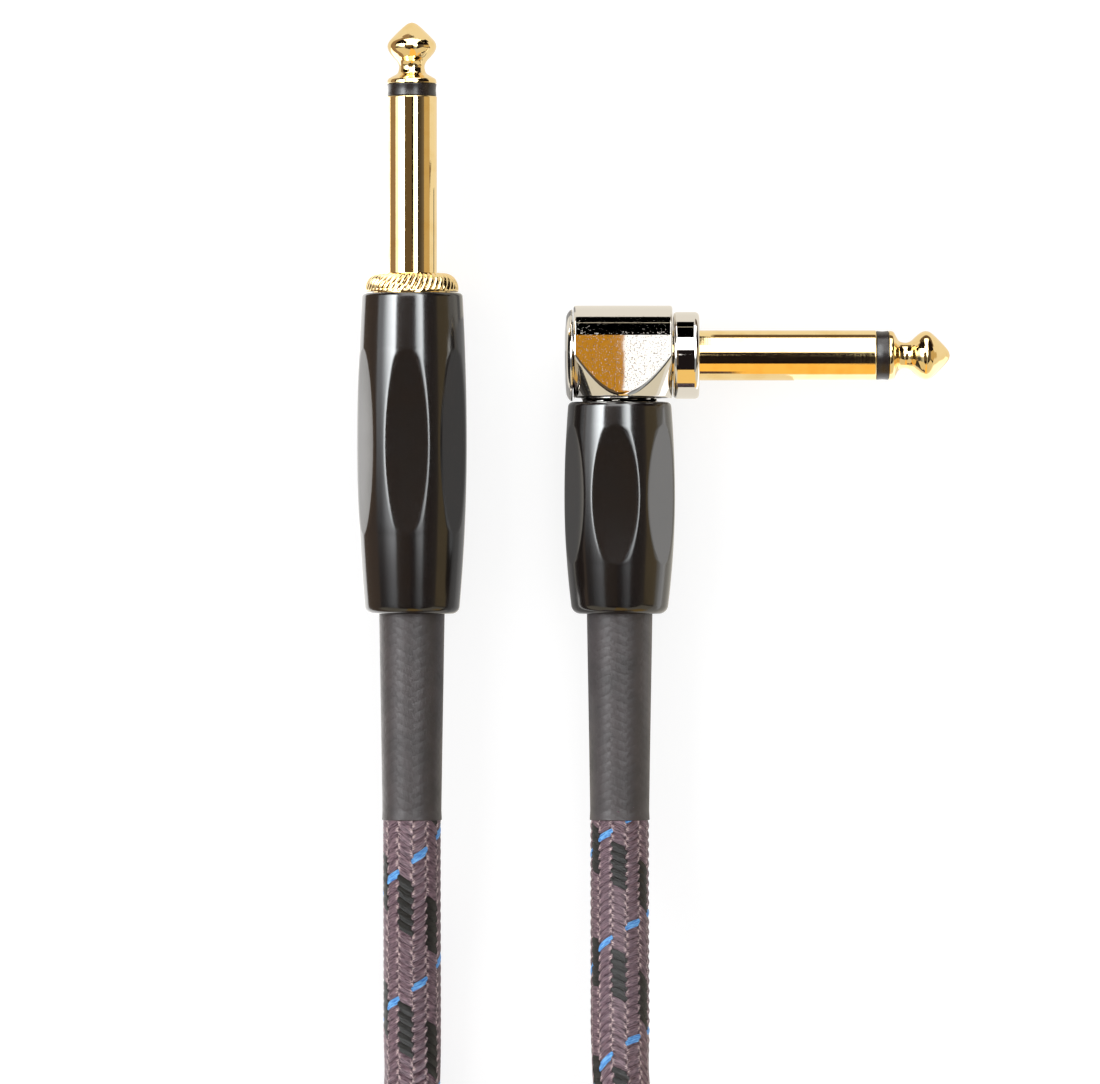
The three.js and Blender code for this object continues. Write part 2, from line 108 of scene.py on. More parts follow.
STRAIGHT_GRIP = Sizes(
    length=40.6, front_radius=6.4, widest_radius=6.95, widest_at=21.6, rear_radius=5.95,
    facet_depth=6.38, facet_at=21.2, facet_scoop=215.0, front_round=0.5, rear_round=1.0,
)
ANGLE_GRIP = Sizes(
    length=26.8, front_radius=6.5, widest_radius=7.0, widest_at=14.8, rear_radius=6.0,
    facet_depth=6.32, facet_at=14.8, facet_scoop=105.0, front_round=0.6, rear_round=1.2,
)
GRIP_BORE = Sizes(mouth=4.5, floor=3.2, chamber=5.4, thread=5.1, thread_length=7.1)
FACETS = 6
FACET_TURN = 5.0  # degrees that the top facet leans to the left
FACET_COLUMNS = 13
CREASE_DIP = 0.03

# The shafts. The rear ends are where each piece starts behind the shoulder.
SHAFT = Sizes(
    radius=3.175, sleeve=22.4, insulator=1.6, insulator_radius=3.05, tip=7.75, rod_radius=1.2,
    sleeve_bore=2.4, tube_radius=2.0, tube_bore=1.5, gap=0.03,
)
STRAIGHT_REARS = Sizes(sleeve=-8.0, tube=-10.0, rod=-13.0)
ANGLE_REARS = Sizes(sleeve=-6.7, tube=-6.7, rod=-9.6)
# The tip from its foot to its nose, as radii and distances from the nose
TIP_PROFILE = [
    (3.13, 7.6), (3.02, 7.2), (2.5, 6.85), (1.85, 6.45), (1.66, 6.0), (1.62, 5.5), (1.85, 4.95),
    (2.4, 4.35), (2.9, 3.7), (3.1, 3.1), (2.95, 2.5), (2.45, 1.9), (1.75, 1.2), (1.05, 0.55),
    (0.5, 0.15), (0, 0),
]

# The screw thread behind the straight plug's collar and on the angle plug's neck
THREAD = Sizes(root=4.62, crest=4.88, pitch=1.0, clear=0.3)
# The knurled collar. Its teeth lean by tooth_slant radians for each millimetre of height.
COLLAR = Sizes(
    bore=3.3, radius=5.9, top_radius=4.1, lip=0.45,
    overlap=0.1,  # into the barrel's mouth
    teeth=44, tooth_depth=0.2, tooth_slant=0.1, tooth_from=0.12,
)
ANGLE_COLLAR = Sizes(bore=3.25, radius=5.5, sunk=0.2)
CAP = Sizes(radius=5.8, spigot_radius=4.25, clear=0.12)
# The head, the cone that trims its foot, and the hollows for its contacts and its neck
HEAD = Sizes(
    half_depth=5.8, top_radius=6.3, cone_foot=5.62, cone_rise=5.3, cone_stretch=1.1,
    chamber_radius=4.6, chamber_past_neck=3.0, drill_point=-6.0, socket_radius=5.0,
    socket_depth=1.3, edge_round=0.28,
    # Degrees: the polygon steps of the round top stay below both.
    bevel_from=26.5, sharp_from=19.0,
)
# The heat-shrink tubes: the bore, and the radius at the cut edge, behind it and in the grip
SHRINK = Sizes(bore=3.6, edge=3.8, waist=3.74, slope=3.86, front=4.15)

# The camera's place from the straight cord's axis and the grips' rear ends. Its image is 1100 pixels
# wide, with 7.9 of them to a millimetre.
CAMERA = Sizes(right=17.48, ahead=9.08, height=1200.0, width=1100 / 7.9)
SOFTBOX_HEIGHT = 0.6  # metres
FLOOR_REACH = 12.0  # metres


# ---- Places ----
def middle(node):
    low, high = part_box(node)
    return (low + high) / 2


class Axis:
    """A turning axis. Angles start at the top, and grow to the right as seen from above."""

    def __init__(self, origin, along):
        self.origin = np.array(origin, float)
        self.along = np.array(along, float)
        self.up = np.array((0.0, 0.0, 1.0))
        self.side = np.cross(self.along, self.up)

    def at(self, radius, angle, height):
        """Points in metres from arrays of radii and heights in millimetres and angles in radians."""
        radius, angle, height = (a[..., None] for a in np.broadcast_arrays(radius, angle, height))
        outwards = np.sin(angle) * self.side + np.cos(angle) * self.up
        return self.origin + MM * (radius * outwards + height * self.along)

    def span(self, node):
        """The heights in millimetres at which a node starts and ends."""
        return [(np.array(corner) - self.origin) @ self.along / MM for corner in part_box(node)]


grips_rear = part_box("straight_barrel")[0].y
straight_x, _, straight_z = middle("straight_heat_shrink")
angle_x, _, angle_z = middle("angle_heat_shrink")
head_low, head_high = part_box("angle_head")
shaft_y = middle("angle_collar").y

straight_grip = Axis((straight_x, grips_rear, straight_z), (0, 1, 0))
straight_shaft = Axis((straight_x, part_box("straight_collar")[1].y, straight_z), (0, 1, 0))
angle_grip = Axis((angle_x, grips_rear, angle_z), (0, 1, 0))
angle_shaft = Axis((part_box("angle_collar")[1].x, shaft_y, angle_z), (1, 0, 0))


# ---- Fields: numbers that vary over a surface, as shader nodes ----
class Field:
    def __init__(self, look, socket):
        self.look = look
        self.socket = socket

    def math(self, operation, *others):
        inputs = dict(enumerate((self, *others)))
        return Field(self.look, self.look.node("ShaderNodeMath", inputs, operation=operation).outputs[0])

    def __add__(self, other):
        return self.math("ADD", other)

    def __sub__(self, other):
        return self.math("SUBTRACT", other)

    def __mul__(self, other):
        return self.math("MULTIPLY", other)

    def ramp(self, low, high, start=0.0, end=1.0):
        """Runs smoothly from start to end as this goes from low to high."""
        inputs = {"Value": self, "From Min": low, "From Max": high, "To Min": start, "To Max": end}
        node = self.look.node("ShaderNodeMapRange", inputs, interpolation_type="SMOOTHSTEP")
        return Field(self.look, node.outputs["Result"])


class Look:
    """A material: one Principled shader, and the pattern nodes that feed it."""

    def __init__(self, name, colour, roughness, metallic=0.0, **sockets):
        self.material = bpy.data.materials.new(name)
        self.material.use_nodes = True
        self.tree = self.material.node_tree
        self.shader = self.tree.nodes["Principled BSDF"]
        sockets.update(Base_Color=(*colour, 1.0), Roughness=roughness, Metallic=metallic)
        for key, value in sockets.items():
            self.shader.inputs[key.replace("_", " ")].default_value = value

    def node(self, kind, inputs=None, **settings):
        node = self.tree.nodes.new(kind)
        for key, value in settings.items():
            setattr(node, key, value)
        for key, value in (inputs or {}).items():
            self.feed(node.inputs[key], value)
        return node

    def feed(self, socket, value):
        """A socket takes a Field, another socket or a plain value."""
        if isinstance(value, Field):
            value = value.socket
        if isinstance(value, bpy.types.NodeSocket):
            self.tree.links.new(value, socket)
        else:
            socket.default_value = value

    def place(self):
        """Where a point is, in metres in the piece's own frame."""
        return self.node("ShaderNodeTexCoord").outputs["Object"]

    def split(self, vector):
        return [Field(self, s) for s in self.node("ShaderNodeSeparateXYZ", {0: vector}).outputs]

    def along(self, axis):
        return self.split(self.place())["XYZ".index(axis)]

    def uv(self, layer):
        return self.split(self.node("ShaderNodeUVMap", uv_map=layer).outputs[0])[:2]

    def vector(self, x, y, z=0.0):
        return self.node("ShaderNodeCombineXYZ", {"X": x, "Y": y, "Z": z}).outputs[0]

    def noise(self, scale, vector=None, detail=3.0):
        place = self.place() if vector is None else vector
        inputs = {"Vector": place, "Scale": scale, "Detail": detail}
        return Field(self, self.node("ShaderNodeTexNoise", inputs).outputs[0])

    def fine_lines(self, axis, scale):
        """Noise that changes only along one axis, like the marks of a lathe tool."""
        inputs = {"W": self.along(axis), "Scale": scale, "Detail": 4.0}
        return Field(self, self.node("ShaderNodeTexNoise", inputs, noise_dimensions="1D").outputs[0])

    def mix(self, share, first, second):
        node = self.node("ShaderNodeMix", {"Factor": share}, data_type="RGBA")
        for i, value in ((6, first), (7, second)):
            self.feed(node.inputs[i], (*value, 1.0) if isinstance(value, tuple) else value)
        return node.outputs[2]

    def colour(self, value):
        self.feed(self.shader.inputs["Base Color"], value)

    def roughness(self, field):
        self.feed(self.shader.inputs["Roughness"], field)

    def bump(self, height, distance):
        """Adds relief. Distance is the depth in metres of one unit of height."""
        node = self.node("ShaderNodeBump", {"Distance": distance, "Height": height, "Strength": 1.0})
        normal = self.shader.inputs["Normal"]
        if normal.is_linked:
            self.feed(node.inputs["Normal"], normal.links[0].from_socket)
        self.feed(normal, node.outputs[0])


def srgb(red, green, blue):
    """A colour given in 0 to 255 as a screen shows it, as linear numbers."""
    shares = [c / 255 for c in (red, green, blue)]
    return tuple(c / 12.92 if c <= 0.04045 else ((c + 0.055) / 1.055) ** 2.4 for c in shares)


# ---- Materials ----
def gold_look(name, axis):
    """Gold plating over turned brass, with faint lathe marks and a little uneven shine."""
    look = Look(name, (0.95, 0.72, 0.36), 0.2, 1.0)
    marks = look.fine_lines(axis, 9000)
    smears = look.noise(420, detail=4)
    look.roughness(smears * 0.04 + marks * 0.03 + 0.025)
    look.colour(look.mix(smears.ramp(0.4, 0.75), (0.96, 0.74, 0.38), (0.92, 0.67, 0.30)))
    look.bump(marks, 0.0000012)
    return look.material


def nickel_look(name, pitted):
    """Polished nickel. Over a die casting it shows the casting's fine pits."""
    look = Look(name, (0.80, 0.77, 0.73), 0.04, 1.0)
    smears = look.noise(300, detail=4)
    look.roughness(smears * 0.02 + 0.005)
    look.bump(look.noise(700, detail=1), 0.0000003)
    if pitted:
        look.bump(look.noise(5600, detail=1).ramp(0.62, 0.75), 0.0000022)
    return look.material


def black_look():
    """Black lacquer over turned brass, warm in the dark."""
    look = Look("black_barrel", srgb(22, 17, 16), 0.16, 0.0, IOR=1.72)
    smears = look.noise(260, detail=5)
    look.roughness(smears * 0.10 + 0.11)
    look.colour(look.mix(smears.ramp(0.35, 0.7), srgb(25, 19, 17), srgb(19, 15, 15)))
    look.bump(look.noise(2400, detail=3), 0.0000016)
    return look.material


def plastic_look(name, colour, roughness):
    look = Look(name, colour, roughness)
    speckle = look.noise(1400, detail=4)
    darker = tuple(0.8 * c for c in colour)
    look.colour(look.mix(speckle.ramp(0.35, 0.7), colour, darker))
    look.roughness(speckle * 0.15 + (roughness - 0.07))
    look.bump(speckle, 0.000008)
    return look.material


def metal_look(name, colour, roughness):
    look = Look(name, colour, roughness, 1.0)
    stain = look.noise(700, detail=5)
    darker = tuple(0.6 * c for c in colour)
    look.colour(look.mix(stain.ramp(0.45, 0.8), colour, darker))
    look.roughness(stain * 0.2 + (roughness - 0.1))
    look.bump(look.noise(2500), 0.000006)
    return look.material


def shrink_look():
    """Heat-shrink tube, satin, with the braid below showing faintly through it."""
    look = Look("heat_shrink", srgb(60, 55, 56), 0.5)
    rise = braid_rise(*look.uv("braid"))[0]
    cloud = look.noise(330, detail=5)
    look.colour(look.mix(cloud.ramp(0.3, 0.75), srgb(66, 60, 61), srgb(52, 48, 49)))
    look.roughness(cloud * 0.2 + 0.36)
    look.bump(rise, 0.00003)
    look.bump(look.noise(2600, detail=4), 0.00002)
    return look.material


def braid_rise(u, v):
    """Height, the two yarns' numbers, whether the rising yarn is on top, and the place across a float.

    u counts the yarns that fall to the right, and v those that rise to the right. Floats lie in columns
    along the cord, and lean less than the yarns themselves do.
    """
    column = (u + v) * 0.5 - FLOAT_PLACE
    across = column - column.math("ROUND")
    u = u - across * (1 - BRAID.lean)
    v = v - across * (1 - BRAID.lean)
    wave = (column * math.pi).math("COSINE")

    def back(count):
        """How far a yarn has dropped at a place across it."""
        side = ((count - count.math("ROUND")) * 2).math("ABSOLUTE")
        return side.math("POWER", YARN_ROUND) * -0.62

    rising = wave * 0.38 + back(v)
    falling = wave * -0.38 + back(u)
    return rising.math("MAXIMUM", falling), u, v, rising.math("GREATER_THAN", falling), across


def braid_look():
    """Braided polyester: mauve, with one blue yarn one way and five black yarns the other way."""
    look = Look("braided_cover", srgb(110, 84, 92), 0.5, Specular_IOR_Level=0.45)
    height, u, v, rising_on_top, across = braid_rise(*look.uv("braid"))
    falling_on_top = rising_on_top * -1.0 + 1.0

    blue_yarn = (v.math("ROUND") - 3.0).math("FLOORED_MODULO", YARNS_EACH_WAY)
    blue = blue_yarn.math("LESS_THAN", 0.5) * rising_on_top
    blue = blue * (v - v.math("ROUND")).math("ABSOLUTE").math("LESS_THAN", 0.39)
    black_yarn = (u.math("ROUND") - 2.0).math("FLOORED_MODULO", YARNS_EACH_WAY)
    black = black_yarn.math("LESS_THAN", 4.5) * falling_on_top

    # Fibres run along whichever yarn is on top. A painted highlight lightens the mauve to a pale pink
    # where a float bends down at its ends.
    fibre_rising = look.noise(1.0, look.vector(v * 9.0, u * 1.4), detail=4)
    fibre_falling = look.noise(1.0, look.vector(u * 9.0, v * 1.4, 9.0), detail=4)
    fibres = fibre_rising * rising_on_top + fibre_falling * falling_on_top
    painted_glints = (across * 2).math("ABSOLUTE").ramp(0.5, 0.95) * height.ramp(-0.12, 0.0)

    lit = fibres.ramp(0.3, 0.7)
    body = look.mix(lit, srgb(58, 36, 49), srgb(134, 106, 116))
    # Painted highlight: the mauve runs to a pale pink at the float ends.
    mauve = look.mix(painted_glints * fibres.ramp(0.35, 0.65), body, srgb(226, 200, 196))
    bright = look.mix(lit, srgb(34, 106, 196), srgb(116, 192, 248))
    dark = look.mix(lit, srgb(5, 4, 4), srgb(22, 20, 19))
    yarns = look.mix(black, look.mix(blue, mauve, bright), dark)
    # Painted shade: where the braid's height drops into the hollows between the yarns, the colour runs
    # down to a dark mauve.
    look.colour(look.mix(height.ramp(-0.55, -0.22), srgb(40, 25, 33), yarns))
    look.bump(height, 0.0005)
    look.bump(fibres, 0.0001)
    return look.material


def strap_look():
    """Woven nylon strap with a loop pile."""
    look = Look("tie_strap", srgb(34, 34, 37), 0.85, Sheen_Weight=0.4)
    warp, weft = ((count * TURN).math("SINE") for count in look.uv("strap"))
    fuzz = look.noise(4500, detail=5)
    look.colour(look.mix(fuzz.ramp(0.35, 0.7), srgb(28, 28, 31), srgb(58, 58, 62)))
    look.bump(warp * weft, 0.00008)
    look.bump(fuzz, 0.0001)
    return look.material


# ---- Meshes ----
def linked(name, mesh):
    made = bpy.data.objects.new(name, mesh)
    bpy.context.scene.collection.objects.link(made)
    return made


def plain_object(vertices, faces, name="tool"):
    mesh = bpy.data.meshes.new(name)
    mesh.from_pydata(vertices, [], faces)
    return linked(name, mesh)


def finish_piece(made, sharp, material, body, slot, *nodes):
    """Shades a piece smooth, gives it its material and body, and hides the CAD nodes that it stands for.
    Slot is not used.
    """
    made.data.shade_smooth()
    made.data.set_sharp_from_angle(angle=math.radians(sharp))
    made.data.materials.clear()
    made.data.materials.append(material)
    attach(made, body)
    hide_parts(*nodes)


def piece(name, vertices, faces, *what, sharp=35.0, uv=None):
    """A mesh object from arrays. uv is a layer's name and its values at each face corner.

    What the piece is follows its mesh, here and in turned: its material, body, slot and CAD nodes.
    """
    vertices = np.asarray(vertices, float).reshape(-1, 3).tolist()
    made = plain_object(vertices, [list(f) for f in faces], name)
    if uv:
        layer, values = uv
        made.data.uv_layers.new(name=layer).data.foreach_set("uv", np.asarray(values, np.float32).ravel())
    finish_piece(made, sharp, *what)
    return made


def grid_faces(rows, columns, wrap_rows=False):
    """Quads over a grid of rows times columns vertices, closed round its columns."""
    i = np.arange(rows if wrap_rows else rows - 1)
    i, j = (a.ravel() for a in np.meshgrid(i, np.arange(columns), indexing="ij"))
    i2 = (i + 1) % rows
    j2 = (j + 1) % columns
    corners = (i * columns + j, i * columns + j2, i2 * columns + j2, i2 * columns + j)
    return np.stack(corners, axis=1)


def unit(vectors):
    return vectors / np.linalg.norm(vectors, axis=-1, keepdims=True)


def rounded(*points, steps=5):
    """An outline of (radius, height, rounding) points as (radius, height) points.

    Each corner with a rounding becomes an arc, with a support point on each side that keeps the
    straight stretches straight when they are shaded smooth.
    """
    points = np.array(points, float)
    corners = points[:, :2]
    out = []
    for i, size in enumerate(points[:, 2]):
        here = corners[i]
        if not size or i in (0, len(points) - 1):
            out.append(here)
            continue
        back = unit(corners[i - 1] - here)
        ahead = unit(corners[i + 1] - here)
        half = math.acos(np.clip(back @ ahead, -1, 1)) / 2
        reach = size / math.tan(half)
        centre = here + unit(back + ahead) * size / math.sin(half)
        first = here + back * reach
        last = here + ahead * reach
        support = 0.35 * reach
        out.append(first + back * support)
        a = math.atan2(*(first - centre)[::-1])
        b = math.atan2(*(last - centre)[::-1])
        sweep = (b - a + math.pi) % TURN - math.pi
        for k in range(steps + 1):
            angle = a + sweep * k / steps
            out.append(centre + size * np.array((math.cos(angle), math.sin(angle))))
        out.append(last + ahead * support)
    return np.array(out)


def turned_mesh(outline, axis, columns, shape=None, counts=None):
    """An outline turned about an axis, as vertices, faces and the counts at each face corner.

    The outline starts and ends on the axis, or closes on itself.
    """
    outline = np.asarray(outline, float)
    closed = np.allclose(outline[0], outline[-1])
    if closed:
        outline = outline[:-1]
    rows = len(outline)
    angle = TURN * np.arange(columns)[None, :] / columns
    radius, height = (np.repeat(outline[:, k : k + 1], columns, axis=1) for k in (0, 1))
    if shape:
        radius = shape(radius, angle, height)
    vertices = axis.at(radius, angle, height).reshape(-1, 3)
    faces = grid_faces(rows, columns, wrap_rows=closed)
    marks = None
    if counts:
        # The last column's faces end a whole turn round, not back at the start.
        column = faces % columns
        column = np.where((column == 0) & (column.max(1) == columns - 1)[:, None], columns, column)
        marks = np.stack(counts(TURN * column / columns, outline[faces // columns, 1]), axis=-1)
    faces = faces.tolist()
    if not closed:
        # Each end row is one point on the axis: its quads become triangles.
        last = (rows - 1) * columns
        ends = {**dict.fromkeys(range(columns), 0), **dict.fromkeys(range(last, last + columns), last)}
        faces = [list(dict.fromkeys(ends.get(v, v) for v in f)) for f in faces]
    return vertices, faces, marks


def turned(name, outline, axis, *what, columns=128, shape=None, counts=None):
    """A turned piece. A shape function may change its radii, and counts are the braid's under it."""
    vertices, faces, marks = turned_mesh(outline, axis, columns, shape, counts)
    clean(piece(name, vertices, faces, *what, uv=("braid", marks) if counts else None))


def drum(outline, axis):
    """A turned solid as a tool to cut with."""
    vertices, faces, _ = turned_mesh(outline, axis, 96)
    made = plain_object(vertices.tolist(), faces)
    clean(made)
    return made


def clean(made):
    """Drops loose vertices and turns every face outwards."""
    mesh = bmesh.new()
    mesh.from_mesh(made.data)
    loose = [v for v in mesh.verts if not v.link_faces]
    bmesh.ops.delete(mesh, geom=loose, context="VERTS")
    bmesh.ops.recalc_face_normals(mesh, faces=mesh.faces)
    mesh.to_mesh(made.data)
    mesh.free()


def smooth(value, low=0.0, high=1.0):
    """Runs smoothly from 0 to 1 as the value goes from low to high."""
    t = np.clip((value - low) / (high - low), 0.0, 1.0)
    return t * t * (3 - 2 * t)


# ---- The cord ----
def layer_side(layer):
    """Which way the coil grows in a layer: inwards (-1) or outwards (1)."""
    return -1 if layer % 2 == 0 else 1


def turn_radius(n):
    """The radius of turn n of the coil, from the floor up. Layers lie in each other's hollows."""
    layer, place = divmod(n, TURNS_PER_LAYER)
    middle_place = (TURNS_PER_LAYER - 1) / 2 - 0.25
    return COIL.middle_radius + layer_side(layer) * (place - middle_place) * COIL.pitch


def coil_points():
    """The coil's centreline, from the straight cord's axis and the grips' rear ends."""
    leave, land = COIL.crossover
    steady = 360 - (land - leave)
    last_turn = LAYERS * TURNS_PER_LAYER - 1
    points = []
    count = round((COIL.end - COIL.start) / COIL.step)
    for k in range(count + 1):
        angle = COIL.start + k * COIL.step
        n = int((angle - land) // 360)
        turned_by = angle - land - 360 * n
        layer, place = divmod(n, TURNS_PER_LAYER)
        radius = turn_radius(n)
        level = float(layer)
        following = turn_radius(n + 1) if n < last_turn else radius + COIL.pitch
        if place == TURNS_PER_LAYER - 1 and n < last_turn:
            # The last turn of a layer moves beside the next layer's first one, and climbs to its level.
            side = layer_side(layer)
            climb = COIL.climb[side]
            share = (turned_by - (steady - climb)) / climb
            radius += (following + side * COIL.pitch - radius) * smooth(share, 0.0, 0.6)
            level += smooth(share, 0.25, 1.0)
        radius += (following - radius) * smooth(turned_by, steady, 360)
        around = angle % 360
        hump = COIL.hump * smooth(around, *COIL.hump_start) * (1 - smooth(around, *COIL.hump_end))
        over_tie = 1 - smooth(abs(around - TIE.angle), *TIE.lift_over)
        height = COIL.floor_height + level * (COIL.layer_rise + hump) + TIE.lift * over_tie
        x = COIL.centre[0] + radius * math.cos(math.radians(angle))
        y = COIL.centre[1] + radius * math.sin(math.radians(angle))
        points.append((x, y, height))
    return points


def blended(first, last, start, end, at):
    """The point between two points that the parameter reaches, as it goes from start to end."""
    return ((end - at) * first + (at - start) * last) / (end - start)


def curve_through(points, per_span=12):
    """A smooth curve through the points (centripetal Catmull-Rom)."""
    p = np.array(points, float)
    p = np.vstack([2 * p[0] - p[1], p, 2 * p[-1] - p[-2]])
    out = []
    for i in range(1, len(p) - 2):
        a, b, c, d = p[i - 1 : i + 3]
        steps = [np.linalg.norm(q - r) ** 0.5 for q, r in ((b, a), (c, b), (d, c))]
        t0, t1, t2, t3 = np.r_[0, np.cumsum(steps)]
        for t in np.linspace(t1, t2, per_span, endpoint=False):
            ab = blended(a, b, t0, t1, t)
            bc = blended(b, c, t1, t2, t)
            cd = blended(c, d, t2, t3, t)
            abc = blended(ab, bc, t0, t2, t)
            bcd = blended(bc, cd, t1, t3, t)
            out.append(blended(abc, bcd, t1, t2, t))
    out.append(p[-2])
    return np.array(out)


def cord_route():
    """The whole cord's centreline, from the straight plug to the angle plug, in metres."""
    spacing = (angle_x - straight_x) / MM
    back = [(x + spacing, y, z) for x, y, z in reversed(ANGLE_LEAD)]
    line = curve_through([*STRAIGHT_LEAD, *coil_points(), *back])
    return line * MM + np.array((straight_x, grips_rear, 0))


def lengths_along(line):
    return np.r_[0, np.cumsum(np.linalg.norm(np.diff(line, axis=0), axis=1))]


def points_along(line, distances):
    at = lengths_along(line)
    return np.stack([np.interp(distances, at, line[:, k]) for k in range(3)], axis=1)


def carried_frames(line):
    """Two directions square to a line, which don't twist along it. The first starts near +Z."""
    tangents = unit(np.gradient(line, axis=0))
    normal = np.array((0.0, 0.0, 1.0))
    normals = []
    for t in tangents:
        normal = unit(normal - t * (normal @ t))
        normals.append(normal)
    normals = np.array(normals)
    return normals, np.cross(normals, tangents)


def braid_counts(turns, lays):
    """Yarn counts u and v from turns round the cord and lays along it."""
    return YARNS_EACH_WAY * (turns - lays), YARNS_EACH_WAY * (turns + lays)


def braid_height(u, v):
    """The braid's relief in millimetres, at yarn counts u and v. It matches braid_rise."""
    column = (u + v) / 2 - FLOAT_PLACE
    across = column - np.round(column)
    u = u - across * (1 - BRAID.lean)
    v = v - across * (1 - BRAID.lean)
    floats = BRAID.relief * np.cos(column * math.pi)

    def back(count):
        return 1.6 * BRAID.relief * (2 * np.abs(count - np.round(count))) ** YARN_ROUND

    return np.maximum(floats - back(v), -floats - back(u))


def braid_along(distances, length, last_up):
    """Turns and lays of the braid along the cord, to fit the columns seen from above at both ends.

    Distances are along the floor, so that the lay stays even as seen from above where the cord climbs.
    """
    hidden = BRAID.hidden
    first_lay = BRAID.lay_at_straight
    last_lay = BRAID.lay_at_angle
    s = distances / MM - hidden
    full = length / MM - 2 * hidden
    lays = s / first_lay + s**2 / (2 * full) * (1 / last_lay - 1 / first_lay)
    last = full / 2 * (1 / first_lay + 1 / last_lay)
    first_count = BRAID.start_count / YARNS_EACH_WAY
    wanted = math.floor(last) + BRAID.end_count / YARNS_EACH_WAY
    lays += first_count + (wanted - first_count - last) * s / full
    start = -BRAID.start_turn / 360
    end = BRAID.end_turn / 360 - last_up / TURN
    return start + (end - start) * s / full, lays


def cord_mesh():
    """Vertices, faces and the yarn counts at each face corner. The ends have the braid in relief."""
    line = cord_route()
    length = lengths_along(line)[-1]
    fine = BRAID.fine_length * MM
    fine_rows = round(BRAID.fine_length / BRAID.fine_step)
    coarse_rows = round((length / MM - 2 * BRAID.fine_length) / BRAID.coarse_step)
    distances = np.r_[
        np.linspace(0, fine, fine_rows, endpoint=False),
        np.linspace(fine, length - fine, coarse_rows, endpoint=False),
        np.linspace(length - fine, length, fine_rows + 1),
    ]
    centres = points_along(line, distances)
    normals, binormals = carried_frames(centres)
    last_up = math.atan2(binormals[-1][2], normals[-1][2])
    seen = lengths_along(centres[:, :2])
    turns, lays = braid_along(seen, seen[-1], last_up)

    vertices, faces, counts = [], [], []
    base = 0
    previous = None
    for row, s in enumerate(distances):
        inward = min(s, length - s)
        is_fine = inward < fine * 0.999
        columns = BRAID.fine_columns if is_fine else BRAID.coarse_columns
        share = np.arange(columns + 1) / columns
        u, v = braid_counts(share + turns[row], lays[row])
        radius = np.full(columns, CORD_RADIUS)
        if is_fine:
            fade = 1 - smooth(inward / fine, 0.8, 1.0)
            radius += fade * (braid_height(u, v)[:-1] + 0.5 * BRAID.relief)
        angle = TURN * share[:-1, None]
        outwards = np.cos(angle) * normals[row] + np.sin(angle) * binormals[row]
        vertices.append(centres[row] + MM * radius[:, None] * outwards)
        here = (base, columns, np.stack([u, v], axis=1))
        if previous is not None:
            join_rings(previous, here, faces, counts)
        previous = here
        base += columns
    for end in (range(BRAID.fine_columns), range(base - 1, base - 1 - BRAID.fine_columns, -1)):
        faces.append(list(end))
        counts.append(np.zeros((len(end), 2)))
    return np.concatenate(vertices), faces, np.concatenate(counts), line


def join_rings(first, second, faces, counts):
    """Faces between two rings, of which one may have a whole number of times more columns."""
    few = min(first[1], second[1])
    for k in range(few):
        corners = []
        marks = []
        for (base, columns, ring), forward in ((first, True), (second, False)):
            step = columns // few
            run = range(k * step, (k + 1) * step + 1)
            for i in run if forward else reversed(run):
                corners.append(base + i % columns)
                marks.append(ring[i])
        faces.append(corners)
        counts.append(np.array(marks))


def build_cord(material):
    vertices, faces, counts, line = cord_mesh()
    what = (material, "cable", "braided_cover", "cord_lead_straight", "cord_coil", "cord_lead_angle")
    made = piece("cord", vertices, faces, *what, uv=("braid", counts))
    build_tie()


# ---- The tie round the coil ----
def half_hull(points):
    """One side of the outline drawn tight round sorted points."""
    kept = []
    for p in points:
        while len(kept) > 1:
            (ax, ay), (bx, by) = kept[-2:]
            if (bx - ax) * (p[1] - ay) - (by - ay) * (p[0] - ax) > 0:
                break
            kept.pop()
        kept.append(p)
    return kept[:-1]


def tie_outline():
    """The outline of a strap drawn tight round the turns at the tie, as (radius, height) points."""
    reach = CORD_RADIUS + TIE.clearance
    cloud = []
    for n in range(LAYERS * TURNS_PER_LAYER):
        x = turn_radius(n)
        y = COIL.floor_height + TIE.lift + (n // TURNS_PER_LAYER) * COIL.layer_rise
        cloud += [(x + reach * math.cos(a), y + reach * math.sin(a)) for a in TURN * np.arange(72) / 72]
    cloud.sort()
    return np.array(half_hull(cloud) + half_hull(cloud[::-1]))


